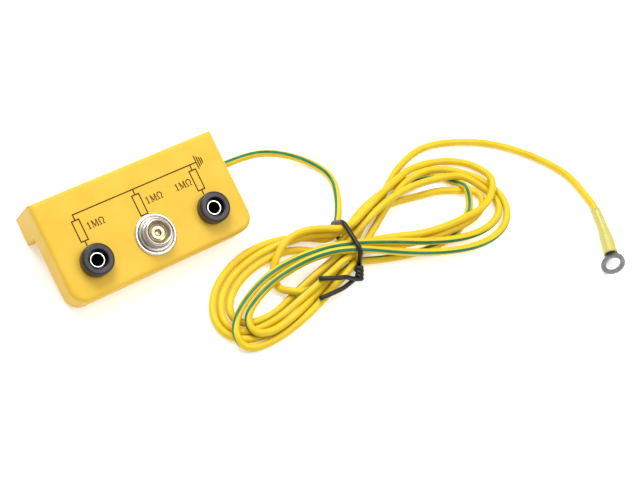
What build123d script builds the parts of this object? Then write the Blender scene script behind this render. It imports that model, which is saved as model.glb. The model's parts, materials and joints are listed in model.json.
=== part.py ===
from build123d import *
from math import atan2, cos, degrees, radians, sin, tan
import os

# An earth bonding point for a work bench: a small moulded box with two 4 mm sockets and a 10 mm
# snap stud on its face, each joined through a 1 megohm resistor to an earth lead. The lead leaves
# the right end, is tied in a hank and ends in a ring terminal.
# All sizes are in millimetres. The box lies on its back, so its face leans forward a little.
# Row frame: +Z up from the surface it lies on, +X along the box, +Y towards the lip.
# Box frame: origin at the middle of the face, X along it, Y up it, Z out of it.

# Box
BOX_LENGTH = 72.0
FACE_HEIGHT = 38.0
BODY_DEPTH = 11.2
LIP_DEPTH = 22.5
LIP_HEIGHT = 10.2
WALL = 2.0
COVER_THICKNESS = 1.8
COVER_GAP = 0.1
LOWER_CORNER_RADIUS = 5.8
FACE_EDGE_RADIUS = 1.5

# Sockets and stud
SOCKET_SPACING = 46.4
FITTING_HEIGHT = -7.3
COLLAR_RADIUS = 5.65
COLLAR_RISE = 4.0
BUSH_RADIUS = 3.9
SOCKET_BORE_RADIUS = 2.0
SOCKET_TUBE_RADIUS = 2.5
SOCKET_TUBE_TOP = 2.25
SOCKET_TUBE_END = -7.6
SOCKET_BORE_END = -6.8
STUD_FLANGE_RADIUS = 7.5
STUD_HEAD_RADIUS = 4.95
EYELET_RADIUS = 1.7
EYELET_BORE_RADIUS = 1.15
EYELET_FRONT = 3.2
EYELET_BACK = -3.2

# Lead
LEAD_RADIUS = 1.4
LEAD_CORE_RADIUS = 0.6
HANK_HEIGHT = 8.0
SLEEVE_RADIUS = 1.75
SLEEVE_WIDE_RADIUS = 2.45
SLEEVE_WALL = 0.3
RING_RADIUS = 4.7
RING_HOLE_RADIUS = 2.9
RING_THICKNESS = 0.8
TIE_RADIUS = 0.9

# The lead's route, row frame, one point for each corner of the path
EXIT_RUN = [
    (36.0, 3.5, 14.0), (45.0, 3.5, 14.0), (57.0, 4.4, 8.6), (67.0, 1.6, 4.2), (74.4, -3.6, 1.6),
    (78.6, -12.4, 1.45), (75.2, -21.6, 1.45), (69.4, -31.2, 1.45),
]
TAIL_RUN = [
    (90.0, -30.2, 1.45), (97.5, -25.0, 1.45), (107.0, -20.2, 1.45), (119.0, -17.6, 1.45),
    (131.0, -20.4, 1.45), (146.0, -28.0, 1.45), (158.0, -40.0, 1.45), (166.8, -55.0, 1.45),
    (166.6, -66.5, 1.6), (166.3, -72.4, 1.9), (161.9, -83.5, 2.3), (159.1, -88.8, 2.56),
]
SLEEVE_END = (156.5, -93.6, 2.8)

# The box's place in the row frame, worked out from the two edges that it rests on
LEAN = atan2(LIP_DEPTH - BODY_DEPTH, FACE_HEIGHT - LIP_HEIGHT)
FRONT_Y = (-(FACE_HEIGHT / 2 - FACE_EDGE_RADIUS) * cos(LEAN) + FACE_EDGE_RADIUS * sin(LEAN)
           - FACE_EDGE_RADIUS)
REAR_Y = FACE_HEIGHT / 2 * cos(LEAN) + LIP_DEPTH * sin(LEAN)
FACE_Y = -(FRONT_Y + REAR_Y) / 2
FACE_Z = FACE_HEIGHT / 2 * sin(LEAN) + BODY_DEPTH * cos(LEAN)
BOX_PLACE = Plane(origin=(0, FACE_Y, FACE_Z), x_dir=(1, 0, 0), z_dir=(0, -sin(LEAN), cos(LEAN))).location
SOCKET_PLACES = {"left": -SOCKET_SPACING / 2, "right": SOCKET_SPACING / 2}
RESISTOR_PLACES = {"left": -SOCKET_SPACING / 2, "middle": 0.0, "right": SOCKET_SPACING / 2}
WIRING_DEPTH = -6.2
BUS_HEIGHT = 13.0


def turned(points):
    """Solid of revolution about Z from (radius, height) corners."""
    corners = [(radius, 0, height) for radius, height in points]
    return revolve(make_face(Polyline(*corners, close=True)), Axis.Z)


def rod(start, end, radius):
    """Straight round bar from one point to another."""
    path = Line(start, end)
    return sweep(Plane(origin=path @ 0, z_dir=path % 0) * Circle(radius), path=path)


def corner_radii(points):
    """Largest arc at each inner corner of a route that leaves a straight piece between arcs."""
    radii = []
    for before, corner, after in zip(points, points[1:], points[2:]):
        run_in = Vector(*corner) - Vector(*before)
        run_out = Vector(*after) - Vector(*corner)
        shorter = min(run_in.length, run_out.length)
        radii.append(0.45 * shorter / tan(radians(run_in.get_angle(run_out)) / 2))
    return radii


def tube_along(points, radius, name):
    """Round tube of straight runs and tangent arcs, with its volume checked."""
    radii = corner_radii(points)
    path = FilletPolyline(*points, radius=radii)
    tube = sweep(Plane(origin=path @ 0, z_dir=path % 0) * Circle(radius), path=path)
    share = tube.volume / (Circle(radius).area * path.length)
    print(name, "length", round(path.length, 1), "volume share", round(share, 4),
          "radii", [round(r, 1) for r in radii])
    return tube


# Box ------------------------------------------------------------------------------------------

def side_profile(length):
    """Block with the L-shaped side view of the box, centred along X."""
    top, bottom = FACE_HEIGHT / 2, -FACE_HEIGHT / 2
    step = top - LIP_HEIGHT
    corners = [(0, top, 0), (0, top, -LIP_DEPTH), (0, step, -LIP_DEPTH), (0, step, -BODY_DEPTH),
               (0, bottom, -BODY_DEPTH), (0, bottom, 0)]
    return extrude(make_face(Polyline(*corners, close=True)), length / 2, dir=(1, 0, 0), both=True)


def cavity(gap):
    """The space inside the walls, open at the back, drawn in by a gap."""
    width = BOX_LENGTH - 2 * WALL - 2 * gap
    height = FACE_HEIGHT - 2 * WALL - 2 * gap
    outline = Rectangle(width, height)
    lower = outline.vertices().group_by(Axis.Y)[0]
    outline = fillet(lower, LOWER_CORNER_RADIUS - WALL - gap)
    return extrude(Pos(0, 0, -WALL) * outline, -LIP_DEPTH)


SCREW_PLACES = [(-30.0, -13.3), (30.0, -13.3), (-11.6, 5.0), (11.6, 5.0)]
SCREW_BOSS_RADIUS = 2.4
SCREW_PILOT_RADIUS = 0.85
SCREW_HEAD_RADIUS = 1.9
SCREW_HEAD_DEPTH = 1.1
SCREW_LENGTH = 7.0


def housing():
    shell = side_profile(BOX_LENGTH)
    shell = fillet(shell.edges().filter_by(Axis.Z).group_by(Axis.Y)[0], LOWER_CORNER_RADIUS)
    shell = fillet(shell.edges().group_by(Axis.Z)[-1], FACE_EDGE_RADIUS)
    shell -= cavity(0)
    boss_length = BODY_DEPTH - COVER_THICKNESS - WALL
    for x, y in SCREW_PLACES:
        shell += Pos(x, y, -WALL - boss_length / 2) * Cylinder(SCREW_BOSS_RADIUS, boss_length)
        shell -= Pos(x, y, -BODY_DEPTH + 3.5) * Cylinder(SCREW_PILOT_RADIUS, 7)
    for x in SOCKET_PLACES.values():
        shell -= Pos(x, FITTING_HEIGHT) * Cylinder(BUSH_RADIUS + 0.05, 3 * WALL)
    shell -= Pos(0, FITTING_HEIGHT) * Cylinder(EYELET_RADIUS + 0.05, 3 * WALL)
    shell = BOX_PLACE * shell
    exit_x, exit_y, exit_z = EXIT_RUN[0]
    lead_hole = rod((exit_x - 2 * WALL, exit_y, exit_z), (exit_x + WALL, exit_y, exit_z), LEAD_RADIUS + 0.1)
    return shell - lead_hole


def back_cover():
    """Stepped plate that closes the back, the underside of the lip and its rear."""
    outer = side_profile(BOX_LENGTH)
    inner = Pos(0, COVER_THICKNESS, COVER_THICKNESS) * side_profile(BOX_LENGTH + 2)
    upper = Pos(0, FACE_HEIGHT, COVER_THICKNESS) * Box(BOX_LENGTH + 2, FACE_HEIGHT, 2 * LIP_DEPTH)
    below = Pos(0, -FACE_HEIGHT / 2, COVER_THICKNESS - BODY_DEPTH / 2) * Box(BOX_LENGTH + 2, 10, BODY_DEPTH)
    plate = (outer - inner - upper - below) & cavity(COVER_GAP)
    for x, y in SCREW_PLACES:
        plate -= Pos(x, y, -BODY_DEPTH) * Cylinder(1.2, 4 * COVER_THICKNESS)
        plate -= Pos(x, y, -BODY_DEPTH) * Cylinder(SCREW_HEAD_RADIUS + 0.15, 2 * SCREW_HEAD_DEPTH + 0.2)
    return plate


def cover_screws():
    """Four pan head screws, each with a cross recess."""
    screws = []
    for x, y in SCREW_PLACES:
        head_back = -BODY_DEPTH + 0.1
        neck = head_back + SCREW_HEAD_DEPTH
        screw = turned([(0, head_back), (SCREW_HEAD_RADIUS - 0.4, head_back),
                        (SCREW_HEAD_RADIUS, head_back + 0.4), (SCREW_HEAD_RADIUS, neck),
                        (SCREW_PILOT_RADIUS, neck), (SCREW_PILOT_RADIUS, neck + SCREW_LENGTH - 2),
                        (0, neck + SCREW_LENGTH - 1.2)])
        for turn in (0, 90):
            screw -= Pos(0, 0, head_back) * Rot(0, 0, turn) * Box(2.2, 0.5, 1.2)
        screws.append(Pos(x, y) * screw)
    return screws


# Sockets --------------------------------------------------------------------------------------

def socket_collar():
    """Black insulating collar with the threaded bush that goes through the face."""
    rim = COLLAR_RADIUS
    bore = SOCKET_TUBE_RADIUS + 0.9
    grip = SOCKET_TUBE_RADIUS + 0.02
    body = turned([(grip, 0.6), (bore, 0.6), (bore, COLLAR_RISE), (rim, COLLAR_RISE), (rim, 0),
                   (BUSH_RADIUS, 0), (BUSH_RADIUS, -5.2), (grip, -5.2)])
    rims = body.edges().filter_by(GeomType.CIRCLE).group_by(Axis.Z)[-1].sort_by(SortBy.RADIUS)
    body = fillet(rims[-1], 0.9)
    rims = body.edges().filter_by(GeomType.CIRCLE).group_by(Axis.Z)[-1].sort_by(SortBy.RADIUS)
    return fillet(rims[0], 0.3)


def socket_tube():
    """Nickelled contact tube, closed at its inner end, with a stub for the solder tag."""
    mouth = 0.25
    return turned([(SOCKET_BORE_RADIUS + mouth, SOCKET_TUBE_TOP), (SOCKET_TUBE_RADIUS, SOCKET_TUBE_TOP),
                   (SOCKET_TUBE_RADIUS, SOCKET_TUBE_END), (1.0, SOCKET_TUBE_END),
                   (1.0, SOCKET_TUBE_END - 1.0), (0, SOCKET_TUBE_END - 1.0), (0, SOCKET_BORE_END),
                   (SOCKET_BORE_RADIUS, SOCKET_BORE_END), (SOCKET_BORE_RADIUS, SOCKET_TUBE_TOP - mouth)])


def socket_nut():
    hexagon = RegularPolygon(5.0, 6, major_radius=False) - Circle(BUSH_RADIUS + 0.02)
    return Pos(0, 0, -WALL - 2.0) * extrude(hexagon, 2.0)


def socket_tag():
    """Solder tag: a washer with a tail that has a small hole in it."""
    outline = Circle(2.5) + Pos(0, 3.3) * Rectangle(2.0, 6.6) - Circle(1.02) - Pos(0, 5.6) * Circle(0.5)
    return Pos(0, 0, SOCKET_TUBE_END - 0.4) * extrude(outline, 0.4)


# Stud -----------------------------------------------------------------------------------------

def stud_base():
    """Pressed flange with a raised step that the head stands on."""
    hole = EYELET_RADIUS + 0.02
    return turned([(hole, 0), (STUD_FLANGE_RADIUS, 0), (STUD_FLANGE_RADIUS, 0.45),
                   (STUD_FLANGE_RADIUS - 0.35, 0.8), (6.45, 0.8), (6.25, 1.25), (6.0, 1.4),
                   (hole, 1.4)])


def stud_head():
    """Snap head: foot, waist, round bulge and a dished top."""
    hole, waist, bulge = EYELET_RADIUS + 0.02, 4.2, STUD_HEAD_RADIUS
    outline = [
        Line((hole, 0, 1.4), (5.4, 0, 1.4)),
        Line((5.4, 0, 1.4), (5.3, 0, 1.85)),
        Line((5.3, 0, 1.85), (waist, 0, 2.2)),
        Line((waist, 0, 2.2), (waist, 0, 2.9)),
        ThreePointArc((waist, 0, 2.9), (bulge - 0.2, 0, 3.05), (bulge, 0, 3.4)),
        Line((bulge, 0, 3.4), (bulge, 0, 4.2)),
        ThreePointArc((bulge, 0, 4.2), (bulge - 0.22, 0, 4.6), (waist, 0, 4.78)),
        ThreePointArc((waist, 0, 4.78), (3.7, 0, 4.85), (3.3, 0, 4.6)),
        Line((3.3, 0, 4.6), (3.1, 0, 2.8)),
        Line((3.1, 0, 2.8), (hole, 0, 2.8)),
        Line((hole, 0, 2.8), (hole, 0, 1.4)),
    ]
    return revolve(make_face(Curve() + outline), Axis.Z)


def stud_eyelet():
    """Hollow rivet through stud, face, washer and tag, rolled over at both ends."""
    return turned([(EYELET_BORE_RADIUS + 0.2, EYELET_FRONT), (2.2, EYELET_FRONT), (2.3, EYELET_FRONT - 0.4),
                   (EYELET_RADIUS, EYELET_FRONT - 0.4), (EYELET_RADIUS, EYELET_BACK + 0.4),
                   (2.6, EYELET_BACK + 0.4), (2.5, EYELET_BACK), (EYELET_BORE_RADIUS, EYELET_BACK),
                   (EYELET_BORE_RADIUS, EYELET_FRONT - 0.2)])


def stud_washer():
    return Pos(0, 0, -WALL - 0.4) * extrude(Circle(3.8) - Circle(EYELET_RADIUS + 0.02), 0.4)


def stud_tag():
    hole = Circle(EYELET_RADIUS + 0.02)
    outline = Circle(3.2) + Pos(0, 3.9) * Rectangle(2.0, 6.4) - hole - Pos(0, 6.2) * Circle(0.5)
    return Pos(0, 0, -WALL - 0.8) * extrude(outline, 0.4)


# Wiring inside --------------------------------------------------------------------------------

RESISTOR_MIDDLE = 5.6


def resistor(x):
    """Axial resistor with swollen ends, lying up the box."""
    body = turned([(0, -3.2), (0.9, -3.2), (1.2, -2.9), (1.2, -2.0), (1.0, -1.7), (1.0, 1.7), (1.2, 2.0),
                   (1.2, 2.9), (0.9, 3.2), (0, 3.2)])
    return Pos(x, RESISTOR_MIDDLE, WIRING_DEPTH) * Rot(90, 0, 0) * body


def resistor_wires():
    """A short wire from each end of each resistor, to its tag and to the bus wire."""
    wires = []
    for x in RESISTOR_PLACES.values():
        for near, far in ((3.2, BUS_HEIGHT - RESISTOR_MIDDLE - 0.4), (-3.2, -5.2)):
            start = (x, RESISTOR_MIDDLE + near, WIRING_DEPTH)
            wires.append(rod(start, (x, RESISTOR_MIDDLE + far, WIRING_DEPTH), 0.3))
    return wires


def bus_wire():
    """Bare wire over the three resistors that turns down to the end of the lead."""
    lead_height = 6.9
    path = FilletPolyline((-SOCKET_SPACING / 2 - 1, BUS_HEIGHT, WIRING_DEPTH), (27.0, BUS_HEIGHT, WIRING_DEPTH),
                          (27.0, lead_height, WIRING_DEPTH), radius=2.0)
    return sweep(Plane(origin=path @ 0, z_dir=path % 0) * Circle(0.4), path=path)


def inner_lead():
    """The lead's own end, through the wall to the bus wire, in the row frame."""
    x, y, z = EXIT_RUN[0]
    return rod((x, y, z), (x - 7.0, y, z), LEAD_RADIUS)


def inner_core():
    x, y, z = EXIT_RUN[0]
    return rod((x - 7.0, y, z), (x - 11.0, y, z), LEAD_CORE_RADIUS)


def cable_tie():
    """Small nylon tie drawn tight on the lead just inside the wall, so it can't be pulled out."""
    x, y, z = EXIT_RUN[0]
    band = Pos(x - 4.0, y, z) * Rot(0, 90, 0) * (Cylinder(2.3, 2.4) - Cylinder(LEAD_RADIUS + 0.02, 3))
    head = Pos(x - 4.0, y, z + 2.6) * Box(3.2, 3.2, 1.8)
    return band + head


# Lead -----------------------------------------------------------------------------------------

def trimmed_face(point, towards):
    """Block beyond a flat cut, just where a round run meets the hank."""
    away = (Vector(*towards) - Vector(*point)).normalized()
    plane = Plane(origin=point, z_dir=away)
    return plane.location * Pos(0, 0, 6) * Box(9, 9, 12)


def hank_outline():
    """Two lobes joined by the narrow waist where the tie goes round."""
    return [(67.0, -31.2), (82.0, -31.4), (97.0, -27.0), (112.0, -23.2), (125.0, -23.8), (135.0, -30.0),
            (138.5, -41.0), (137.0, -53.0), (131.0, -63.0), (120.0, -68.0), (106.0, -68.0), (91.0, -62.5),
            (78.0, -55.2), (65.0, -52.2), (50.0, -53.2), (36.0, -58.2), (22.0, -64.0), (11.0, -63.0),
            (5.5, -55.0), (4.5, -44.0), (10.0, -33.0), (21.0, -27.0), (36.0, -26.5), (52.0, -29.6)]


def lead_hank():
    """Outer shape of the tied turns: a flat bow with an open middle in each lobe."""
    body = extrude(make_face(Spline(*hank_outline(), periodic=True)), HANK_HEIGHT)
    right_gap = [(93.0, -45.0), (103.0, -40.5), (112.0, -41.0), (115.0, -46.0), (112.0, -51.0), (101.0, -50.0)]
    left_gap = [(20.0, -49.0), (26.0, -45.0), (32.0, -45.5), (33.5, -50.5), (27.0, -56.0), (21.0, -55.5)]
    for gap in (right_gap, left_gap):
        body -= extrude(make_face(Spline(*gap, periodic=True)), HANK_HEIGHT)
    body -= trimmed_face(EXIT_RUN[-1], EXIT_RUN[-2])
    body -= trimmed_face(TAIL_RUN[0], TAIL_RUN[1])
    return body - tie_groove()


TIE_PLACE = Plane(origin=(66.2, -42.3, 0), x_dir=(0.14, 0.99, 0), z_dir=(0.99, -0.14, 0)).location
TIE_HALF_WIDTH = 9.7
TIE_LOW = 0.95
TIE_HIGH = 7.6


def tie_path():
    """Closed loop round the waist, drawn in the tie's own upright plane."""
    corners = [(-TIE_HALF_WIDTH, TIE_LOW), (TIE_HALF_WIDTH, TIE_LOW), (TIE_HALF_WIDTH, TIE_HIGH - 2),
               (TIE_HALF_WIDTH - 5, TIE_HIGH), (-TIE_HALF_WIDTH + 5, TIE_HIGH), (-TIE_HALF_WIDTH, TIE_HIGH - 2)]
    return corners


def tie_band(half_thickness, half_width):
    """Flat-sided band that follows the tie's loop."""
    outline = make_face(Polyline(*tie_path(), close=True))
    outline = fillet(outline.vertices(), 1.6)
    ring = offset(outline, half_thickness) - offset(outline, -half_thickness)
    return TIE_PLACE * extrude(ring, half_width, both=True)


def tie_groove():
    """What the tie takes out of the hank: the band and everything outside it."""
    inner = fillet(make_face(Polyline(*tie_path(), close=True)).vertices(), 1.6)
    inner = offset(inner, -TIE_RADIUS - 0.05)
    outside = Rectangle(60, 40) - inner
    return TIE_PLACE * extrude(outside, TIE_RADIUS + 0.1, both=True)


def twist_tie():
    """Black plastic-coated tie: the loop, its twisted knot and its two loose ends."""
    loop = tie_band(TIE_RADIUS, TIE_RADIUS)
    knot_middle = (63.4, -54.6, 3.4)
    knot = Pos(*knot_middle) * Cylinder(1.8, 4.2, rotation=(90, 0, 0))
    first_end = FilletPolyline((63.2, -55.4, 4.0), (61.6, -56.0, 9.0), (45.5, -50.4, 9.0), radius=1.8)
    second_end = FilletPolyline((63.2, -56.2, 3.0), (56.0, -57.4, 1.2), (45.6, -57.2, 1.0), radius=6)
    tie = loop + knot
    for end in (first_end, second_end):
        tie += sweep(Plane(origin=end @ 0, z_dir=end % 0) * Circle(TIE_RADIUS), path=end)
    return tie


# Far end --------------------------------------------------------------------------------------

FLARE_START = 2.8
CRIMP_MOUTH = 3.4
TONGUE_LIFT = 10.0
RING_ROLL = (-0.569, 0.336, 0.751)


def crimp_plane():
    """Plane at the corner before the crimp: X along the sleeve, Z out of the ring's face."""
    corner, end = Vector(*TAIL_RUN[-2]), Vector(*SLEEVE_END)
    along = (end - corner).normalized()
    roll = Vector(*RING_ROLL)
    up = (roll - along * roll.dot(along)).normalized()
    return Plane(origin=corner, x_dir=along, z_dir=up)


def sleeve_length():
    return (Vector(*SLEEVE_END) - Vector(*TAIL_RUN[-2])).length


def crimp_sleeve():
    """Thin see-through sleeve: close on the lead, then wider over the crimp."""
    radii = corner_radii(TAIL_RUN)
    before, start, corner, end = [Vector(*point) for point in TAIL_RUN[-4:]]
    run = corner - start
    turn = radians((start - before).get_angle(run))
    sleeve_start = start + run.normalized() * (radii[-2] * tan(turn / 2))
    joint = corner + (end - corner).normalized() * FLARE_START
    path = FilletPolyline(sleeve_start, corner, joint, radius=radii[-1])
    mouth = Plane(origin=path @ 0, z_dir=path % 0)
    outer = sweep(mouth * Circle(SLEEVE_RADIUS), path=path) + sleeve_body(0)
    inner = sweep(mouth * Circle(SLEEVE_RADIUS - SLEEVE_WALL), path=path) + sleeve_body(SLEEVE_WALL)
    return outer - inner


def sleeve_body(wall):
    """Solid of the sleeve's wide part, or of its bore where a wall is given."""
    step = 0.05
    start, wide, length = SLEEVE_RADIUS + step - wall, SLEEVE_WIDE_RADIUS - wall, sleeve_length() + wall
    low = FLARE_START - 0.3 - wall
    body = turned([(0, low), (start, low), (start, FLARE_START), (wide, FLARE_START + 2.4), (wide, length),
                   (0, length)])
    return crimp_plane().location * Rot(0, 90, 0) * body


def ring_terminal():
    """Tinned copper terminal: crimp barrel, tongue and the ring that goes under a screw."""
    end = sleeve_length()
    barrel_start, step, barrel_end = CRIMP_MOUTH + 2.0, 6.4, end - 0.6
    barrel = turned([(1.45, barrel_start), (2.05, barrel_start), (2.05, step), (1.8, step + 0.6), (1.8, barrel_end),
                     (1.0, barrel_end), (1.0, step + 0.6), (1.45, step)])
    barrel = Rot(0, 90, 0) * barrel
    tongue = Pos(3.0, 0) * Rectangle(7.0, 3.4) + Pos(6.2, 0) * Circle(RING_RADIUS)
    tongue -= Pos(6.2, 0) * Circle(RING_HOLE_RADIUS)
    plate = Pos(end - 1.0, 0, 0.35) * Rot(0, -TONGUE_LIFT, 0) * extrude(tongue, RING_THICKNESS / 2, both=True)
    neck = Pos(end - 0.7, 0, 0.3) * Box(2.2, 2.6, 1.5)
    return crimp_plane().location * (barrel + neck + plate)


def conductor_end():
    """Bare copper strands in the crimp barrel."""
    end = Vector(*TAIL_RUN[-1])
    along = (Vector(*SLEEVE_END) - Vector(*TAIL_RUN[-2])).normalized()
    return rod(end, end + along * 3.6, 0.9)


# Diagram printed on the face ------------------------------------------------------------------

INK = 0.05
LINE_WIDTH = 0.32
DIAGRAM_SHIFT = -0.4
DIAGRAM_BUS = 10.2
DIAGRAM_RESISTOR = (0.5, 8.1)
DIAGRAM_RESISTOR_WIDTH = 2.7
EARTH_BARS = [(25.5, 4.8), (26.3, 3.5), (27.1, 2.5), (27.8, 1.6)]


def bar(x0, y0, x1, y1):
    """Flat printed line along X or Y."""
    width, height = abs(x1 - x0) + LINE_WIDTH, abs(y1 - y0) + LINE_WIDTH
    return Pos((x0 + x1) / 2, (y0 + y1) / 2, INK / 2) * Box(width, height, INK)


def face_diagram():
    """Three resistors hung from one line that ends in an earth sign, as one printed layer."""
    low, high = DIAGRAM_RESISTOR
    half = DIAGRAM_RESISTOR_WIDTH / 2
    left, right = [DIAGRAM_SHIFT + side * SOCKET_SPACING / 2 for side in (-1, 1)]
    print_layer = bar(left, DIAGRAM_BUS, EARTH_BARS[0][0], DIAGRAM_BUS)
    for x, foot in ((left, -1.2), (DIAGRAM_SHIFT, 0.5), (right, -1.2)):
        print_layer += bar(x, DIAGRAM_BUS, x, high)
        print_layer += bar(x, low, x, foot)
        for y in (low, high):
            print_layer += bar(x - half, y, x + half, y)
        for side in (-half, half):
            print_layer += bar(x + side, low, x + side, high)
    ink = [print_layer]
    for x, height in EARTH_BARS:
        ink.append(bar(x, DIAGRAM_BUS - height / 2, x, DIAGRAM_BUS + height / 2))
    joined = ink[0] + ink[1]
    return joined.solids() + ink[2:]


# Write the nodes ------------------------------------------------------------------------------

def write(name, shapes):
    """Save one node, whether it is one solid or a group of them."""
    solids = []
    for shape in shapes if isinstance(shapes, list) else [shapes]:
        solids.extend(shape.solids())
    part = solids[0] if len(solids) == 1 else Compound(children=solids)
    part.label = name
    export_step(part, f"parts/{name}.step")
    print(name, "solids", len(solids))


def in_box(shapes, x=0.0, y=0.0):
    """Place shapes drawn in the box frame into the row frame."""
    shapes = shapes if isinstance(shapes, list) else [shapes]
    return [BOX_PLACE * Pos(x, y) * shape for shape in shapes]


def main():
    os.makedirs("parts", exist_ok=True)
    write("housing", housing())
    write("back_cover", in_box(back_cover()))
    write("cover_screws", in_box(cover_screws()))
    for side, x in SOCKET_PLACES.items():
        write(f"socket_collar_{side}", in_box(socket_collar(), x, FITTING_HEIGHT))
        write(f"socket_tube_{side}", in_box(socket_tube(), x, FITTING_HEIGHT))
        write(f"socket_nut_{side}", in_box(socket_nut(), x, FITTING_HEIGHT))
        write(f"socket_tag_{side}", in_box(socket_tag(), x, FITTING_HEIGHT))
    for name, make in (("base", stud_base), ("head", stud_head), ("eyelet", stud_eyelet),
                       ("washer", stud_washer), ("tag", stud_tag)):
        write(f"stud_{name}", in_box(make(), 0, FITTING_HEIGHT))
    for side, x in RESISTOR_PLACES.items():
        write(f"resistor_{side}", in_box(resistor(x)))
    write("resistor_wires", in_box(resistor_wires()))
    write("bus_wire", in_box(bus_wire()))
    write("inner_lead", inner_lead())
    write("inner_core", inner_core())
    write("cable_tie", cable_tie())
    write("face_diagram", in_box(face_diagram()))
    write("lead_exit_run", tube_along(EXIT_RUN, LEAD_RADIUS, "exit run"))
    write("lead_hank", lead_hank())
    write("lead_tail_run", tube_along(TAIL_RUN, LEAD_RADIUS, "tail run"))
    write("twist_tie", twist_tie())
    write("crimp_sleeve", crimp_sleeve())
    write("conductor_end", conductor_end())
    write("ring_terminal", ring_terminal())
    print("lean", round(degrees(LEAN), 2), "face centre", round(FACE_Y, 3), round(FACE_Z, 3))


main()
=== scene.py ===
import json
import math

import bmesh
import bpy
import numpy as np
from mathutils import Matrix, Vector


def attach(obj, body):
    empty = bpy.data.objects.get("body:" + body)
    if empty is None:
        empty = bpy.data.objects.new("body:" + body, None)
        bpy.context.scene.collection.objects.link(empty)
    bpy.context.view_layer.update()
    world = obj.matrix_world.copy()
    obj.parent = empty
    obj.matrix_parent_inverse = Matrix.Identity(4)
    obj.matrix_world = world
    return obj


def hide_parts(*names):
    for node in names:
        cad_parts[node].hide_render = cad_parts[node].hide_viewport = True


# Looks of an earth bonding point: a moulded box with two sockets and a snap stud, and an earth lead
# tied in a hank. Everything is in metres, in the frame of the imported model.

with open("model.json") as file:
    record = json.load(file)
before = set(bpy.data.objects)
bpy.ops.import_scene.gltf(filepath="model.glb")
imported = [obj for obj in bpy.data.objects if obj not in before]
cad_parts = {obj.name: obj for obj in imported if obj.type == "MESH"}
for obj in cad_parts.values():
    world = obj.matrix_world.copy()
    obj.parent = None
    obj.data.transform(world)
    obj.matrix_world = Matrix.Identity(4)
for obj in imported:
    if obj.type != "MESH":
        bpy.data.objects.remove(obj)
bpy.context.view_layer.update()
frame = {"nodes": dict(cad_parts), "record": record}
nodes = frame["nodes"]
MOUNTS = {mount["name"]: mount for mount in frame["record"]["mounts"]}

# Box frame, from the stud's mount: origin at the middle of the face, X along it, Y up it, Z out of it
STUD_MOUNT_HEIGHT = 0.0038
FITTING_HEIGHT = -0.0073
FACE_NORMAL = Vector(MOUNTS["snap_stud"]["axis"]).normalized()
FACE_UP = FACE_NORMAL.cross(Vector((1, 0, 0))).normalized()
STUD_PLACE = Vector(MOUNTS["snap_stud"]["pos_m"]) - FACE_NORMAL * STUD_MOUNT_HEIGHT
FACE_MIDDLE = STUD_PLACE - FACE_UP * FITTING_HEIGHT
FACE_MATRIX = Matrix.Translation(FACE_MIDDLE) @ Matrix((
    (1, 0, 0), FACE_UP, FACE_NORMAL)).transposed().to_4x4()

# Camera: its place, the way it looks and which way is up in the picture
CAMERA_PLACE = Vector((-0.14414, -0.19155, 0.37897))
CAMERA_LOOK = Vector((0.44292, 0.34443, -0.82776))
CAMERA_UP = Vector((0.39093, 0.75668, 0.52403))
CAMERA_LENS = 69.47

# Lead
LEAD_RADIUS = 0.0014
STRIPE_WIDTH = 0.0012
EXIT_ROUTE = [
    (0.0360, 0.0035, 0.0140), (0.0450, 0.0035, 0.0140), (0.0570, 0.0044, 0.0086), (0.0670, 0.0016, 0.0042),
    (0.0744, -0.0036, 0.0016), (0.0786, -0.0124, 0.00145), (0.0752, -0.0216, 0.00145),
    (0.0704, -0.0295, 0.0020),
]
TAIL_ROUTE = [
    (0.0800, -0.0326, 0.0022), (0.0900, -0.0302, 0.00145), (0.0975, -0.0250, 0.00145),
    (0.1070, -0.0202, 0.00145), (0.1190, -0.0176, 0.00145), (0.1310, -0.0204, 0.00145),
    (0.1460, -0.0280, 0.00145), (0.1580, -0.0400, 0.00145), (0.1668, -0.0550, 0.00145),
    (0.1666, -0.0665, 0.0016), (0.1663, -0.0724, 0.0019), (0.1619, -0.0835, 0.0023),
    (0.1591, -0.0888, 0.00256),
]
SLEEVE_END = (0.1565, -0.0936, 0.0028)

# The hank's loops, in the order that the lead goes round them. Each has a handle that pulls it outward on
# its way out and one on its way back, then its heights on the way out, at its end and on the way back.
LEFT_LOOPS = [
    ((0.001, 0.001), (-0.028, -0.090), (0.0030, 0.0014, 0.0014)),
    ((0.006, -0.004), (-0.028, -0.085), (0.0044, 0.0016, 0.0016)),
    ((0.013, -0.009), (-0.024, -0.078), (0.0020, 0.0014, 0.0014)),
    ((0.036, -0.006), (0.009, -0.074), (0.0060, 0.0044, 0.0040)),
    ((0.015, -0.019), (-0.035, -0.088), (0.0074, 0.0050, 0.0016)),
    ((0.018, -0.020), (-0.025, -0.088), (0.0074, 0.0050, 0.0020)),
]
RIGHT_LOOPS = [
    ((0.133, -0.088), (0.151, 0.000), (0.0014, 0.0014, 0.0020)),
    ((0.135, -0.077), (0.164, -0.024), (0.0020, 0.0014, 0.0014)),
    ((0.156, -0.089), (0.162, 0.008), (0.0056, 0.0060, 0.0070)),
    ((0.146, -0.006), (0.163, -0.097), (0.0044, 0.0034, 0.0036)),
    ((0.138, 0.024), (0.177, -0.113), (0.0036, 0.0022, 0.0030)),
]
LEFT_LOOP_POINTS = 15
RIGHT_LOOP_POINTS = 17
HEIGHT_STATIONS = (0, 0.22, 0.5, 0.78, 1)

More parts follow.
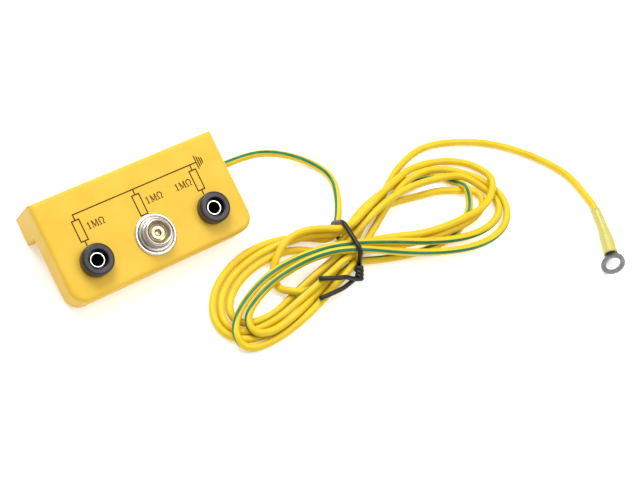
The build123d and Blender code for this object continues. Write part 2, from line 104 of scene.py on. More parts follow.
# The tie, and where each pass of the lead goes through it: across it and above the surface
TIE_RADIUS = 0.0009
TIE_MIDDLE = Vector((0.0642, -0.0423, 0))
TIE_ACROSS = Vector((0.14, 0.99, 0))
TIE_REACH = (-0.0074, 0.0040)
PASSES_LEFTWARD = [(0.0070, 0.0034), (0.0056, 0.0060), (0.0042, 0.0034), (0.0028, 0.0066),
                   (-0.0014, 0.0085), (-0.0052, 0.0072)]
PASSES_RIGHTWARD = [(-0.0042, 0.0034), (-0.0028, 0.0056), (0.0000, 0.0060), (0.0014, 0.0034),
                    (-0.0070, 0.0034), (-0.0014, 0.0034)]
TIE_LOWEST_PASS = 0.0032

# How the turns settle. In each round the lead's stiffness straightens a share of each bend, and more of
# one that is tighter than the radius given; each point is drawn back to its place in plan; and the turns
# sink a little and are pushed off each other.
SETTLE_ROUNDS = 240
PUSH_ROUNDS = 4
STRAND_SPACING = 2.06 * LEAD_RADIUS
NEIGHBOUR_REACH = 0.022
NEIGHBOUR_ROUNDS = 8
STIFFNESS = (0.03, 0.03, 0.10)
TIGHT_BEND_RADIUS = 0.0062
TIGHT_BEND_STIFFNESS = 0.4
PLAN_PULL = (0.06, 0.06, 0)
SINK = 0.00004
PUSH_SHARE = 0.35
PUSH_BOOST = 1.6
SURFACE_GAP = 0.00005

# Print
INK_THICKNESS = 0.00004
INK_LIFT = 0.00002
LABEL_LEFTS = (-0.0208, 0.0021, 0.0139)
LABEL_BASE = 0.0034
LABEL_HEIGHT = 0.0025
LETTER_M_SHIFT = 0.0019
OHM_SHIFT = 0.0044


# Small tools ------------------------------------------------------------------------------------

def add_object(name, data, body="root"):
    piece = bpy.data.objects.new(name, data)
    bpy.context.scene.collection.objects.link(piece)
    if body:
        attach(piece, body)
    return piece


def add_mesh(name, points, faces, material, smooth=True, body="root"):
    mesh = bpy.data.meshes.new(name)
    mesh.from_pydata([tuple(point) for point in points], [], faces)
    mesh.materials.append(material)
    if smooth:
        mesh.shade_smooth()
    mesh.update()
    return add_object(name, mesh, body)


def spun(name, profile, matrix, material, segments=96):
    """Mesh turned about Z from closed (radius, height) corners."""
    bm = bmesh.new()
    rings = []
    for radius, height in profile:
        angles = [2 * math.pi * k / segments for k in range(segments)]
        rings.append([bm.verts.new((radius * math.cos(a), radius * math.sin(a), height)) for a in angles])
    for low, high in zip(rings, rings[1:] + rings[:1]):
        for k in range(segments):
            after = (k + 1) % segments
            bm.faces.new((low[k], low[after], high[after], high[k]))
    bmesh.ops.recalc_face_normals(bm, faces=bm.faces)
    mesh = bpy.data.meshes.new(name)
    bm.to_mesh(mesh)
    bm.free()
    mesh.transform(matrix)
    mesh.shade_smooth()
    mesh.set_sharp_from_angle(angle=math.radians(38))
    mesh.materials.append(material)
    return add_object(name, mesh)


def spline_line(points, resolution=6):
    """Points along the NURBS spline that has these points as its control points."""
    curve = bpy.data.curves.new("route", "CURVE")
    curve.dimensions = "3D"
    curve.resolution_u = resolution
    spline = curve.splines.new("NURBS")
    spline.points.add(len(points) - 1)
    for control, point in zip(spline.points, points):
        control.co = (*point, 1)
    spline.order_u = 3
    spline.use_endpoint_u = True
    carrier = bpy.data.objects.new("route", curve)
    mesh = bpy.data.meshes.new_from_object(carrier)
    line = np.array([vertex.co for vertex in mesh.vertices], float)
    bpy.data.meshes.remove(mesh)
    bpy.data.objects.remove(carrier)
    bpy.data.curves.remove(curve)
    return line


def tube(name, line, radii, angles, material, sides=24, closed=False, uv=False):
    """Tube round a line. Each ring is turned about it by its angle, from the side that the camera sees."""
    count = len(line)
    ahead = np.roll(line, -1, axis=0) if closed else np.vstack([line[1:], line[-1:]])
    behind = np.roll(line, 1, axis=0) if closed else np.vstack([line[:1], line[:-1]])
    along = (ahead - behind) / np.linalg.norm(ahead - behind, axis=1)[:, None]
    side = np.cross(along, -CAMERA_LOOK)
    side /= np.linalg.norm(side, axis=1)[:, None]
    up = np.cross(side, along)
    turn = 2 * math.pi * np.arange(sides) / sides
    theta = turn[None, :] + np.asarray(angles)[:, None]
    reach = np.broadcast_to(np.asarray(radii, float), (count,))[:, None, None]
    ring = np.cos(theta)[..., None] * up[:, None] + np.sin(theta)[..., None] * side[:, None]
    points = (line[:, None] + reach * ring).reshape(-1, 3)
    faces = []
    for i in range(count if closed else count - 1):
        j = (i + 1) % count
        for k in range(sides):
            m = (k + 1) % sides
            faces.append((i * sides + k, j * sides + k, j * sides + m, i * sides + m))
    if not closed:
        faces.append(tuple(range(sides)))
        faces.append(tuple(reversed(range((count - 1) * sides, count * sides))))
    piece = add_mesh(name, points, faces, material)
    if uv:
        lengths = np.concatenate([[0], np.cumsum(np.linalg.norm(np.diff(line, axis=0), axis=1))])
        layer = piece.data.uv_layers.new(name="lead")
        for polygon in piece.data.polygons:
            wraps = len(polygon.vertices) == 4 and polygon.index % sides == sides - 1
            for corner in polygon.loop_indices:
                vertex = piece.data.loops[corner].vertex_index
                around = vertex % sides
                layer.data[corner].uv = ((sides if wraps and around == 0 else around) / sides,
                                         lengths[vertex // sides])
    return piece


# Materials --------------------------------------------------------------------------------------

def tone(red, green, blue):
    """Linear colour for a surface that should look like this in sRGB under these lights."""
    return [0.84 * (value / 255) ** 2.2 for value in (red, green, blue)] + [1]


def new_material(name, roughness, metallic=0.0, **inputs):
    material = bpy.data.materials.new(name)
    material.use_nodes = True
    tree = material.node_tree
    shader = tree.nodes["Principled BSDF"]
    shader.inputs["Roughness"].default_value = roughness
    shader.inputs["Metallic"].default_value = metallic
    for socket, value in inputs.items():
        shader.inputs[socket.replace("_", " ")].default_value = value
    return material, tree, shader


def noise(tree, scale, detail=3.0, vector=None, distortion=0.0):
    node = tree.nodes.new("ShaderNodeTexNoise")
    node.inputs["Scale"].default_value = scale
    node.inputs["Detail"].default_value = detail
    node.inputs["Distortion"].default_value = distortion
    if vector is None:
        vector = tree.nodes.new("ShaderNodeTexCoord").outputs["Object"]
    tree.links.new(vector, node.inputs["Vector"])
    return node.outputs["Fac"]


def ramp(tree, factor, low, high, start=0.3, end=0.7):
    node = tree.nodes.new("ShaderNodeValToRGB")
    node.color_ramp.elements[0].position, node.color_ramp.elements[1].position = start, end
    node.color_ramp.elements[0].color, node.color_ramp.elements[1].color = low, high
    tree.links.new(factor, node.inputs["Fac"])
    return node.outputs["Color"]


def remap(tree, factor, low, high, start=0.3, end=0.7):
    node = tree.nodes.new("ShaderNodeMapRange")
    for socket, value in zip(("From Min", "From Max", "To Min", "To Max"), (start, end, low, high)):
        node.inputs[socket].default_value = value
    tree.links.new(factor, node.inputs["Value"])
    return node.outputs["Result"]


def vector_math(tree, operation, vector, value=(0, 0, 0)):
    node = tree.nodes.new("ShaderNodeVectorMath")
    node.operation = operation
    node.inputs[1].default_value = value
    tree.links.new(vector, node.inputs[0])
    return node.outputs


def from_place(tree, place):
    """Vector from a place to the point that is shaded."""
    coordinates = tree.nodes.new("ShaderNodeTexCoord")
    return vector_math(tree, "SUBTRACT", coordinates.outputs["Object"], place)["Vector"]


def mixed(tree, factor, first, second):
    """One colour at a factor of 0 and another at 1."""
    node = tree.nodes.new("ShaderNodeMix")
    node.data_type = "RGBA"
    share, first_colour, second_colour = node.inputs[0], node.inputs[6], node.inputs[7]
    tree.links.new(factor, share)
    tree.links.new(first, first_colour)
    tree.links.new(second, second_colour)
    return node.outputs[2]


def plain_colour(tree, colour):
    node = tree.nodes.new("ShaderNodeRGB")
    node.outputs[0].default_value = colour
    return node.outputs[0]


def bump(tree, shader, height, distance, strength=0.5, soft_edge=0.0):
    node = tree.nodes.new("ShaderNodeBump")
    if soft_edge:
        edge = tree.nodes.new("ShaderNodeBevel")
        edge.samples = 6
        edge.inputs["Radius"].default_value = soft_edge
        tree.links.new(edge.outputs["Normal"], node.inputs["Normal"])
    node.inputs["Distance"].default_value = distance
    node.inputs["Strength"].default_value = strength
    tree.links.new(height, node.inputs["Height"])
    tree.links.new(node.outputs["Normal"], shader.inputs["Normal"])


def moulded(name, light, dark, roughness, grain, depth, soft_edge=0.0, **inputs):
    """Moulded plastic: cloudy colour, satin patches and a fine spark-eroded grain."""
    material, tree, shader = new_material(name, roughness, **inputs)
    colour = ramp(tree, noise(tree, 90, 4), dark, light, 0.25, 0.65)
    tree.links.new(colour, shader.inputs["Base Color"])
    satin = remap(tree, noise(tree, 240), roughness - 0.06, roughness + 0.08)
    tree.links.new(satin, shader.inputs["Roughness"])
    bump(tree, shader, noise(tree, grain, 2), depth, soft_edge=soft_edge)
    return material


def plated(name, light, dark, roughness, grain, depth, place=None):
    """Metal with fine scratches: round the axis of a turned part where a place is given."""
    material, tree, shader = new_material(name, roughness, metallic=1.0)
    scratches = None
    if place is not None:
        crossed = vector_math(tree, "CROSS_PRODUCT", from_place(tree, place), FACE_NORMAL)["Vector"]
        scratches = vector_math(tree, "LENGTH", crossed)["Value"]
    fine = noise(tree, grain, 3, vector=scratches)
    tree.links.new(ramp(tree, noise(tree, 260, 3), dark, light), shader.inputs["Base Color"])
    tree.links.new(remap(tree, fine, roughness - 0.07, roughness + 0.1), shader.inputs["Roughness"])
    bump(tree, shader, fine, depth, 0.35)
    return material


def socket_metal(name, rim, rim_depth):
    """Plated rim, with painted shade down the bore below it."""
    material = plated(name, tone(255, 253, 248), tone(226, 224, 218), 0.2, 2600, 0.00001)
    tree = material.node_tree
    base = tree.nodes["Principled BSDF"].inputs["Base Color"]
    height = vector_math(tree, "DOT_PRODUCT", from_place(tree, FACE_MIDDLE), FACE_NORMAL)["Value"]
    shade = remap(tree, height, 0.0, 1.0, rim - rim_depth, rim - 0.5 * rim_depth)
    # Painted shade: below the rim the bore is coloured near black, standing in for the shade inside it.
    painted_bore_shade = plain_colour(tree, tone(14, 12, 14))
    tree.links.new(mixed(tree, shade, painted_bore_shade, base.links[0].from_socket), base)
    return material


def striped_lead():
    """Yellow PVC with a narrow green stripe on the mark that its mesh carries, slightly dusty."""
    material, tree, shader = new_material("lead_yellow_green", 0.42, Specular_IOR_Level=0.4)
    marks = tree.nodes.new("ShaderNodeUVMap")
    marks.uv_map = "lead"
    split = tree.nodes.new("ShaderNodeSeparateXYZ")
    tree.links.new(marks.outputs["UV"], split.inputs["Vector"])
    fold = tree.nodes.new("ShaderNodeMath")
    fold.operation = "PINGPONG"
    fold.inputs[1].default_value = 0.5
    tree.links.new(split.outputs["X"], fold.inputs[0])
    edge, softness = STRIPE_WIDTH / (4 * math.pi * LEAD_RADIUS), 0.006
    stripe = remap(tree, fold.outputs["Value"], 1.0, 0.0, edge - softness, edge + softness)
    yellow = ramp(tree, noise(tree, 130, 3), tone(238, 197, 16), tone(247, 213, 36), 0.25, 0.7)
    green = ramp(tree, noise(tree, 220, 3), tone(18, 112, 76), tone(44, 142, 98))
    tree.links.new(mixed(tree, stripe, yellow, green), shader.inputs["Base Color"])
    tree.links.new(remap(tree, noise(tree, 500), 0.36, 0.5), shader.inputs["Roughness"])
    bump(tree, shader, noise(tree, 1400, 2), 0.00003)
    return material


box_yellow = moulded("box_yellow_abs", tone(249, 204, 72), tone(243, 195, 58), 0.46, 5200, 0.00004, 0.0016,
                     Specular_IOR_Level=0.25)
cover_yellow = moulded("cover_yellow_abs", tone(248, 200, 66), tone(241, 190, 52), 0.5, 3600, 0.00006, 0.0003)
collar_black = moulded("collar_black_polyamide", tone(52, 43, 50), tone(34, 26, 32), 0.34, 3800, 0.00003,
                       0.0004)
nickel_bright = plated("nickel_bright", tone(250, 248, 242), tone(228, 226, 222), 0.16, 5000, 0.00001,
                       STUD_PLACE)
socket_rim = socket_metal("socket_rim_nickel", 0.00225, 0.00022)
# Painted reflection: the stud's step and head get a darker, browner nickel standing in for the yellow box
# seen in them; the higher roughness is a duller finish.
nickel_dull_painted_reflection = plated("nickel_dull_painted_reflection", tone(224, 218, 210), tone(188, 180, 168), 0.27, 5200, 0.00002, STUD_PLACE)
nickel_brushed = plated("nickel_tube", tone(246, 244, 238), tone(214, 212, 206), 0.2, 2600, 0.00001)
brass_pale = plated("brass_pale", tone(228, 214, 176), tone(200, 182, 138), 0.26, 2200, 0.00001)
tin_dull = plated("tin_dull", tone(226, 224, 220), tone(196, 194, 190), 0.38, 1800, 0.00002)
tin_grey = plated("tinned_copper_grey", tone(176, 175, 180), tone(140, 138, 144), 0.34, 1500, 0.00003)
steel_zinc = plated("screw_zinc", tone(214, 216, 220), tone(178, 180, 186), 0.3, 2400, 0.00002)
copper_bare = plated("copper_bare", tone(232, 150, 112), tone(196, 112, 78), 0.32, 2600, 0.00003)
tie_black = moulded("tie_black_plastic", tone(27, 25, 28), tone(16, 15, 17), 0.42, 2600, 0.00005)
ink_brown = moulded("ink_brown", tone(92, 46, 8), tone(66, 30, 4), 0.6, 4200, 0.00002, Specular_IOR_Level=0.2)
nylon_white = moulded("nylon_natural", tone(238, 238, 232), tone(222, 222, 214), 0.45, 2600, 0.00003)
resistor_blue = moulded("resistor_lacquer", tone(128, 176, 214), tone(98, 150, 196), 0.3, 2200, 0.00003)
sleeve_clear = moulded("sleeve_pale_pvc", tone(242, 234, 138), tone(230, 220, 112), 0.3, 1500, 0.00004,
                       Transmission_Weight=0.22, IOR=1.45)
lead_skin = striped_lead()

CAD_LOOKS = {
    "housing": box_yellow, "back_cover": cover_yellow, "cover_screws": steel_zinc,
    "socket_collar_left": collar_black, "socket_collar_right": collar_black,
    "socket_tube_left": socket_rim, "socket_tube_right": socket_rim,
    "socket_nut_left": nickel_brushed, "socket_nut_right": nickel_brushed,
    "socket_tag_left": tin_dull, "socket_tag_right": tin_dull, "stud_tag": tin_dull,
    "stud_washer": nickel_brushed, "stud_eyelet": brass_pale, "face_diagram": ink_brown,
    "resistor_left": resistor_blue, "resistor_middle": resistor_blue, "resistor_right": resistor_blue,
    "resistor_wires": tin_dull, "bus_wire": tin_dull, "inner_core": copper_bare, "inner_lead": lead_skin,
    "cable_tie": nylon_white, "conductor_end": copper_bare, "ring_terminal": tin_grey,
}
for node_name, look in CAD_LOOKS.items():
    for material_slot in nodes[node_name].material_slots:
        material_slot.material = look


# Stud: the flange and the snap head, turned with their grooves -----------------------------------

def fine_grooves(outer, inner, height, count, depth):
    """Corners of fine turned grooves between two radii."""
    pitch = (outer - inner) / count
    corners = []
    for k in range(count):
        radius = outer - k * pitch
        corners += [(radius, height), (radius - 0.35 * pitch, height), (radius - 0.6 * pitch, height - depth),
                    (radius - 0.85 * pitch, height)]
    return corners


def in_metres(profile):
    """The stud's profiles are in millimetres from its axis and from the face."""
    return [(radius / 1000, height / 1000) for radius, height in profile]


stud_matrix = FACE_MATRIX @ Matrix.Translation((0, FITTING_HEIGHT, 0))
FLANGE_PROFILE = [(6.3, 0), (7.5, 0), (7.5, 0.42), (7.42, 0.62), (7.2, 0.76), (6.9, 0.8), (6.62, 0.74),
                  (6.48, 0.45), (6.3, 0.3)]
STEP_PROFILE = [(1.74, 0), (6.3, 0), (6.3, 0.4), (6.2, 1.1), (6.1, 1.32), (5.95, 1.4),
                *fine_grooves(5.85, 5.0, 1.4, 5, 0.07), (1.74, 1.4)]
HEAD_PROFILE = [(3.12, 1.42), (5.2, 1.42), (5.15, 1.7), (4.6, 2.0), (4.2, 2.3), (4.2, 2.85), (4.6, 3.0),
                (4.88, 3.2), (4.95, 3.5), (4.95, 4.1), (4.88, 4.42), (4.7, 4.65), (4.45, 4.77), (4.25, 4.78),
                (4.05, 4.65), (3.8, 4.2), (3.55, 3.6), (3.4, 3.1), (3.12, 2.9)]
LINING_PROFILE = [(1.74, 1.42), (3.1, 1.42), (3.1, 3.0), (3.02, 3.18), (2.85, 3.26), (2.7, 3.2), (2.6, 3.0),
                  (2.3, 2.86), (1.74, 2.84)]
SEAT_PROFILE = [(0.02, 1.9), (0.5, 1.92), (0.9, 2.05), (1.14, 2.4), (1.14, 1.5), (0.02, 1.4)]


def turned_piece(name, profile, material, finish, *replaced):
    piece = spun(name, in_metres(profile), stud_matrix, material)
    if replaced:
        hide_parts(*replaced)
    return piece


turned_piece("stud_flange_turned", FLANGE_PROFILE, nickel_bright, "nickel", "stud_base")
turned_piece("stud_step_turned", STEP_PROFILE, nickel_dull_painted_reflection, "nickel")
turned_piece("stud_head_turned", HEAD_PROFILE, nickel_dull_painted_reflection, "nickel", "stud_head")
turned_piece("stud_lining_turned", LINING_PROFILE, brass_pale, "brass")
turned_piece("stud_eyelet_seat", SEAT_PROFILE, brass_pale, "brass")


# Print: the values beside the diagram -------------------------------------------------------------

def ribbon(bm, points, width, matrix):
    """Flat stroke of one width along points on the face."""
    points = [Vector((*point, 0)) for point in points]
    rows = []
    for k, point in enumerate(points):
        before = (point - points[k - 1]).normalized() if k else None
        after = (points[k + 1] - point).normalized() if k + 1 < len(points) else None
        along = ((before or after) + (after or before)).normalized()
        side = Vector((-along.y, along.x, 0))
        reach = 0.5 * width / max(0.5, along.dot(after or before))
        edges = [point + side * s * reach + Vector((0, 0, INK_LIFT)) for s in (1, -1)]
        rows.append([bm.verts.new(matrix @ edge) for edge in edges])
    for (a, b), (c, d) in zip(rows, rows[1:]):
        bm.faces.new((b, d, c, a))


def one_strokes(x, y, h):
    """A printed 1 as strokes and their widths, its foot at x, y and its height h. The other two are alike."""
    return [([(x + 0.34 * h, y), (x + 0.34 * h, y + h)], 0.15 * h),
            ([(x + 0.34 * h, y + 0.95 * h), (x + 0.1 * h, y + 0.78 * h)], 0.07 * h),
            ([(x + 0.1 * h, y + 0.03 * h), (x + 0.58 * h, y + 0.03 * h)], 0.06 * h)]


def letter_m_strokes(x, y, h):
    strokes = [([(x + 0.12 * h, y), (x + 0.12 * h, y + h)], 0.07 * h),
               ([(x + 0.8 * h, y), (x + 0.8 * h, y + h)], 0.15 * h),
               ([(x + 0.12 * h, y + h), (x + 0.45 * h, y + 0.1 * h)], 0.15 * h),
               ([(x + 0.45 * h, y + 0.1 * h), (x + 0.78 * h, y + h)], 0.07 * h)]
    for middle in (0.12, 0.8):
        for left, right, level in ((0.14, 0.14, 0.03), (0.12, 0.1, 0.97)):
            serif = [(x + (middle - left) * h, y + level * h), (x + (middle + right) * h, y + level * h)]
            strokes.append((serif, 0.06 * h))
    return strokes


def ohm_strokes(x, y, h):
    arch = [(x + h * (0.46 + 0.34 * math.cos(a)), y + h * (0.6 + 0.36 * math.sin(a)))
            for a in [math.radians(d) for d in range(-50, 231, 20)]]
    right_foot = [(x + 0.88 * h, y + 0.05 * h), (x + 0.62 * h, y + 0.05 * h), (x + 0.68 * h, y + 0.32 * h)]
    left_foot = [(x + 0.04 * h, y + 0.05 * h), (x + 0.3 * h, y + 0.05 * h), (x + 0.24 * h, y + 0.32 * h)]
    return [(arch, 0.13 * h), (right_foot, 0.1 * h), (left_foot, 0.1 * h)]


def value_labels():
    bm = bmesh.new()
    for left in LABEL_LEFTS:
        strokes = (one_strokes(left, LABEL_BASE, LABEL_HEIGHT)
                   + letter_m_strokes(left + LETTER_M_SHIFT, LABEL_BASE, LABEL_HEIGHT)
                   + ohm_strokes(left + OHM_SHIFT, LABEL_BASE, LABEL_HEIGHT))
        for points, width in strokes:
            ribbon(bm, points, width, FACE_MATRIX)
    mesh = bpy.data.meshes.new("value_labels")
    bm.to_mesh(mesh)
    bm.free()
    mesh.materials.append(ink_brown)
    piece = add_object("value_labels", mesh)
    solid = piece.modifiers.new("ink", "SOLIDIFY")
    solid.thickness, solid.offset = INK_THICKNESS, 1


value_labels()
ink_spread = nodes["face_diagram"].modifiers.new("ink_spread", "SOLIDIFY")
ink_spread.thickness, ink_spread.offset = INK_THICKNESS, 1


# Lead ---------------------------------------------------------------------------------------------

def tie_point(across, height):
    return np.array([*(TIE_MIDDLE + TIE_ACROSS * across)[:2], height])


def loop_points(start, end, handle_out, handle_back, heights, count):
    """Points round one loop of the hank, between two passes through the tie."""
    points = []
    for step in range(1, count + 1):
        t = step / (count + 1)
        s = 1 - t
        weights = (s ** 3, 3 * s * s * t, 3 * s * t * t, t ** 3)
        corners = (start[:2], np.array(handle_out), np.array(handle_back), end[:2])
        plan = sum(weight * corner for weight, corner in zip(weights, corners))
        points.append([*plan, np.interp(t, HEIGHT_STATIONS, (start[2], *heights, end[2]))])
    return points


def hank_points():
    """The hank's turns as one list, and which points the tie holds."""
    points, held = [], []
    for turn, left in enumerate(LEFT_LOOPS):
        entry, back = tie_point(*PASSES_LEFTWARD[turn]), tie_point(*PASSES_RIGHTWARD[turn])
        held.append(len(points))
        points.append(list(entry))
        points += loop_points(entry, back, *left, LEFT_LOOP_POINTS)
        held.append(len(points))
        points.append(list(back))
        if turn < len(RIGHT_LOOPS):
            onward = tie_point(*PASSES_LEFTWARD[turn + 1])
            points += loop_points(back, onward, *RIGHT_LOOPS[turn], RIGHT_LOOP_POINTS)
    return np.array(points), np.array(held)


def closest_on_pairs(a0, a1, b0, b1):
    """Nearest points of segment pairs, as shares along each."""
    u, v, w = a1 - a0, b1 - b0, a0 - b0
    a, b, c = (u * u).sum(1), (u * v).sum(1), (v * v).sum(1)
    d, e = (u * w).sum(1), (v * w).sum(1)
    s = np.clip((b * e - c * d) / np.maximum(a * c - b * b, 1e-16), 0, 1)
    t = np.clip((b * s + e) / np.maximum(c, 1e-16), 0, 1)
    return np.clip((b * t - d) / np.maximum(a, 1e-16), 0, 1), t


def pushed_apart(points, first, second, free):
    """One round of moving strands that are too close away from each other."""
    s, t = closest_on_pairs(points[first], points[first + 1], points[second], points[second + 1])
    gap = (points[first] + s[:, None] * (points[first + 1] - points[first])
           - points[second] - t[:, None] * (points[second + 1] - points[second]))
    far = np.linalg.norm(gap, axis=1)
    near = far < STRAND_SPACING
    i, j, s, t, gap, far = first[near], second[near], s[near], t[near], gap[near], far[near]
    push = gap / np.maximum(far, 1e-6)[:, None] * (STRAND_SPACING - far)[:, None] * PUSH_SHARE
    shift, share = np.zeros_like(points), np.zeros(len(points))
    for index, weight, sign in ((i, 1 - s, 1), (i + 1, s, 1), (j, 1 - t, -1), (j + 1, t, -1)):
        np.add.at(shift, index, sign * push * weight[:, None])
        np.add.at(share, index, weight)
    points = points + np.where(free[:, None], shift / np.maximum(share, 1)[:, None] * PUSH_BOOST, 0)
    points[:, 2] = np.maximum(points[:, 2], LEAD_RADIUS + SURFACE_GAP)
    return points


def settled(points, fixed, held):
    """Lay the turns down on each other over a set number of rounds, pushing apart strands that come too
    close.
    """
    anchor, free = points.copy(), ~fixed
    middle, across = np.array(TIE_MIDDLE[:2]), np.array(TIE_ACROSS[:2])
    every = np.stack(np.triu_indices(len(points) - 1, 3))
    for step in range(SETTLE_ROUNDS):
        if step % NEIGHBOUR_ROUNDS == 0:
            centres = (points[:-1] + points[1:]) / 2
            close = np.linalg.norm(centres[every[0]] - centres[every[1]], axis=1) < NEIGHBOUR_REACH
            first, second = every[0][close], every[1][close]
        straighter = np.zeros_like(points)
        straighter[1:-1] = (points[:-2] + points[2:]) / 2 - points[1:-1]
        spans = np.linalg.norm(np.diff(points, axis=0), axis=1)
        curvature = np.zeros((len(points), 1))
        curvature[1:-1, 0] = 8 * np.linalg.norm(straighter[1:-1], axis=1) / (spans[:-1] + spans[1:]) ** 2
        tight = np.clip(curvature * TIGHT_BEND_RADIUS - 1, 0, 1)
        stiffness = tight * TIGHT_BEND_STIFFNESS + STIFFNESS
        moved = points + stiffness * straighter + (anchor - points) * PLAN_PULL
        moved[:, 2] -= SINK
        points = np.where(free[:, None], moved, points)
        for _ in range(PUSH_ROUNDS):
            points = pushed_apart(points, first, second, free)
        place = (points[held, :2] - middle) @ across
        points[held, :2] -= (place - np.clip(place, *TIE_REACH))[:, None] * across
        points[held, 2] = np.maximum(points[held, 2], TIE_LOWEST_PASS)
    return points


# Where the stripe faces: turns of the hank done, 0.25 being a left loop's end and 0.75 a right one's,
# and degrees from the side that the camera sees, towards the right of the lead's run
STRIPE_TURNS = [
    (0.05, 130), (0.2, 180), (0.3, 220), (0.4, 280), (0.47, 290), (0.52, 320), (0.6, 350), (0.75, 362),
    (0.85, 360), (0.92, 250),
    (1.0, 190), (1.25, 190), (1.35, 240), (1.42, 285), (1.5, 270), (1.6, 190), (1.9, 180),
    (2.25, 190), (2.35, 240), (2.42, 285), (2.5, 250), (2.6, 130), (2.75, 110), (2.85, 150), (2.95, 180),
    (3.47, 180), (3.7, 190), (3.8, 260), (3.88, 305), (3.94, 340),
    (4.0, 356), (4.1, 362), (4.2, 378), (4.28, 425), (4.36, 500), (4.42, 540), (4.7, 550), (4.8, 620),
    (4.88, 665), (4.94, 700),
    (5.0, 716), (5.1, 722), (5.2, 738), (5.28, 785), (5.36, 860), (5.42, 900),
]
# The same for the run from the box: point of the route, and degrees
EXIT_STRIPE = [(0, -26), (2, -23), (4, 0), (5, 14), (6, 38), (7, 52)]


def stripe_angles(route_count, line_count):
    """The stripe's direction at each point of the lead's line."""
    turn_points = LEFT_LOOP_POINTS + RIGHT_LOOP_POINTS + 2
    places = [index for index, _ in EXIT_STRIPE]
    places += [len(EXIT_ROUTE) + turn_points * turns for turns, _ in STRIPE_TURNS]
    degrees = [angle for _, angle in EXIT_STRIPE + STRIPE_TURNS]
    along = np.linspace(0, route_count - 1, line_count)
    return np.radians(np.interp(along, places, degrees))


hank, held_by_tie = hank_points()
route = np.vstack([EXIT_ROUTE, hank, TAIL_ROUTE])
held_by_tie += len(EXIT_ROUTE)
pinned = np.zeros(len(route), bool)
pinned[:len(EXIT_ROUTE) - 1] = True
pinned[1 - len(TAIL_ROUTE):] = True
route = settled(route, pinned, held_by_tie)
lead_line = spline_line(route)
lead = tube("earth_lead", lead_line, LEAD_RADIUS, stripe_angles(len(route), len(lead_line)), lead_skin,
            uv=True)
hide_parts("lead_exit_run", "lead_hank", "lead_tail_run")


# Tie round the hank's waist: a loop, its ends twisted together, and what is left of them ------------

def hull(points):
    """Convex outline of points in a plane, anticlockwise."""
    points = sorted(map(tuple, points))
    chains = []
    for ordered in (points, points[::-1]):
        chain = []
        for point in ordered:
            while len(chain) > 1 and ((chain[-1][0] - chain[-2][0]) * (point[1] - chain[-2][1])
                                      <= (chain[-1][1] - chain[-2][1]) * (point[0] - chain[-2][0])):
                chain.pop()
            chain.append(point)
        chains += chain[:-1]
    return np.array(chains)


# Stretch of the lead that the tie goes round: half of its length along the lead and half across it
TIE_SLICE = 0.0012
TIE_SLICE_REACH = 0.012


def tie_loop_line(count=96):
    """Line of the tie drawn tight round the strands that it holds."""
    middle, across = np.array(TIE_MIDDLE[:2]), np.array(TIE_ACROSS[:2])
    reach = LEAD_RADIUS + TIE_RADIUS
    ahead = np.array((across[1], -across[0]))
    near = lead_line[np.abs((lead_line[:, :2] - middle) @ ahead) < TIE_SLICE]
    near = near[np.abs((near[:, :2] - middle) @ across) < TIE_SLICE_REACH]
    rims = []
    for point in near:
        place = (point[:2] - middle) @ across
        for a in np.linspace(0, 2 * math.pi, 24, endpoint=False):
            rims.append((place + reach * math.cos(a), max(point[2] + reach * math.sin(a), TIE_RADIUS)))
    outline = hull(rims)
    outline = np.vstack([outline, outline[:1]])
    lengths = np.concatenate([[0], np.cumsum(np.linalg.norm(np.diff(outline, axis=0), axis=1))])
    places = np.linspace(0, lengths[-1], count, endpoint=False)
    loop = np.stack([np.interp(places, lengths, outline[:, axis]) for axis in (0, 1)], axis=1)
    for _ in range(3):
        loop = (np.roll(loop, 1, axis=0) + 2 * loop + np.roll(loop, -1, axis=0)) / 4
    return np.array([tie_point(*place) for place in loop])


def twisted(start, end, turns, radius, phase, count=24):
    """One of two wires wound round each other between two points."""
    start, end = Vector(start), Vector(end)
    along = (end - start).normalized()
    side = along.cross(Vector((0, 0, 1))).normalized()
    up = side.cross(along)
    points = []
    for k in range(count + 1):
        angle = phase + 2 * math.pi * turns * k / count
        points.append(start.lerp(end, k / count) + radius * (math.cos(angle) * side + math.sin(angle) * up))
    return [tuple(point) for point in points]


# The knot's two ends, and the points of what is left of the wires after it
KNOT_START = (0.0618, -0.0528, 0.0062)
KNOT_END = (0.0598, -0.0562, 0.0046)
KNOT_TURNS = 1.5
KNOT_RADIUS = 0.0008
TIE_ENDS = [
    ("tie_long_end", 0.0, [(0.0578, -0.0560, 0.0056), (0.0558, -0.0553, 0.0070), (0.0535, -0.0545, 0.0085),
                           (0.0498, -0.0537, 0.0091), (0.0444, -0.0507, 0.0090)]),
    ("tie_short_end", math.pi, [(0.0593, -0.0551, 0.0046), (0.0564, -0.0560, 0.0052),
                                (0.0516, -0.0572, 0.0062), (0.0465, -0.0573, 0.0069),
                                (0.0412, -0.0568, 0.0067)]),
]

tie_line = tie_loop_line()
tie_pieces = [tube("tie_loop", tie_line, TIE_RADIUS, np.zeros(len(tie_line)), tie_black, sides=16,
                   closed=True)]
south = tie_line[np.argmin(tie_line[:, 1])]
for end_name, phase, far_points in TIE_ENDS:
    near_point = (south[0] - 0.0004, south[1] + 0.0004, south[2] + 0.0012 * math.cos(phase))
    knot = twisted(KNOT_START, KNOT_END, KNOT_TURNS, KNOT_RADIUS, phase)
    wire = spline_line([near_point, *knot, *far_points])
    tie_pieces.append(tube(end_name, wire, 0.95 * TIE_RADIUS, np.zeros(len(wire)), tie_black, sides=16))
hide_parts("twist_tie")


# Sleeve over the crimp ------------------------------------------------------------------------------

SLEEVE_LENGTH = 0.0215
SLEEVE_STATIONS = (0, 0.12, 0.42, 0.66, 1)
SLEEVE_RADII = (0.00165, 0.00168, 0.00178, 0.00235, 0.00245)
SLEEVE_WALL = 0.0002


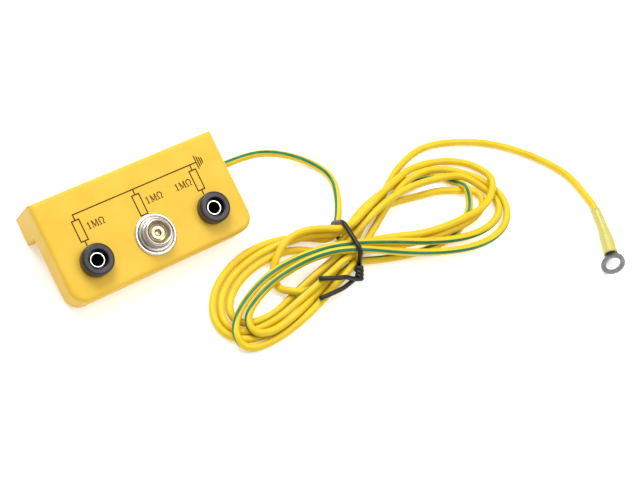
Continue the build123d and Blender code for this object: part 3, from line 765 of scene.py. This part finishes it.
def sleeve_shell():
    """Thin sleeve that follows the lead's line and then runs straight over the crimp."""
    beyond = [Vector(lead_line[-1]).lerp(Vector(SLEEVE_END), k / 5) for k in range(1, 6)]
    line = np.vstack([lead_line, beyond])
    steps = np.linalg.norm(np.diff(line, axis=0), axis=1)
    from_end = np.concatenate([np.cumsum(steps[::-1])[::-1], [0]])
    line = line[from_end <= SLEEVE_LENGTH]
    share = 1 - from_end[from_end <= SLEEVE_LENGTH] / SLEEVE_LENGTH
    radii = np.interp(share, SLEEVE_STATIONS, SLEEVE_RADII)
    piece = tube("crimp_sleeve_shell", line, radii, np.zeros(len(line)), sleeve_clear, sides=32)
    bm = bmesh.new()
    bm.from_mesh(piece.data)
    end_caps = [face for face in bm.faces if len(face.verts) > 4]
    bmesh.ops.delete(bm, geom=end_caps, context="FACES_ONLY")
    bm.to_mesh(piece.data)
    bm.free()
    shell = piece.modifiers.new("wall", "SOLIDIFY")
    shell.thickness, shell.offset = SLEEVE_WALL, -1
    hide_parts("crimp_sleeve")
    return piece


sleeve = sleeve_shell()


# Studio ---------------------------------------------------------------------------------------------

def studio_floor():
    material, tree, shader = new_material("floor_paper", 0.9, Specular_IOR_Level=0.1)
    colour = ramp(tree, noise(tree, 3, 2), (0.86, 0.86, 0.86, 1), (0.89, 0.89, 0.89, 1))
    tree.links.new(colour, shader.inputs["Base Color"])
    tree.links.new(colour, shader.inputs["Emission Color"])
    shader.inputs["Emission Strength"].default_value = 0.4
    half = 3
    corners = [(-half, -half, 0), (half, -half, 0), (half, half, 0), (-half, half, 0)]
    add_mesh("studio_floor", corners, [(0, 1, 2, 3)], material, smooth=False, body=None)


def soft_light(name, place, aim, size, power):
    data = bpy.data.lights.new(name, "AREA")
    data.shape = "SQUARE"
    data.size = size
    data.energy = power
    lamp = add_object(name, data, body=None)
    lamp.location = place
    lamp.rotation_euler = (Vector(aim) - Vector(place)).to_track_quat("-Z", "Y").to_euler()


def white_surround(low, high):
    """World that is bright overhead and dimmer near the horizon, so that metal has something to show."""
    world = bpy.data.worlds.new("studio")
    world.use_nodes = True
    tree = world.node_tree
    coordinates = tree.nodes.new("ShaderNodeTexCoord")
    split = tree.nodes.new("ShaderNodeSeparateXYZ")
    tree.links.new(coordinates.outputs["Generated"], split.inputs["Vector"])
    shade = ramp(tree, split.outputs["Z"], (low, low, low, 1), (high, high, high, 1), 0.15, 0.75)
    tree.links.new(shade, tree.nodes["Background"].inputs["Color"])
    bpy.context.scene.world = world


def photo_camera():
    data = bpy.data.cameras.new("camera")
    data.lens = CAMERA_LENS
    data.clip_start = 0.01
    camera = add_object("camera", data, body=None)
    look = CAMERA_LOOK.normalized()
    right = look.cross(CAMERA_UP).normalized()
    camera.matrix_world = Matrix.Translation(CAMERA_PLACE) @ Matrix((
        right, right.cross(look), -look)).transposed().to_4x4()
    bpy.context.scene.camera = camera


studio_floor()
white_surround(low=0.34, high=0.7)
soft_light("key", place=(0.05, 0.45, 0.75), aim=(0.05, -0.03, 0), size=0.5, power=5.8)
soft_light("fill", place=(0.38, -0.29, 0.72), aim=(0.03, -0.02, 0), size=0.5, power=2.4)
photo_camera()
bpy.context.scene.view_settings.view_transform = "Standard"

bpy.context.view_layer.update()
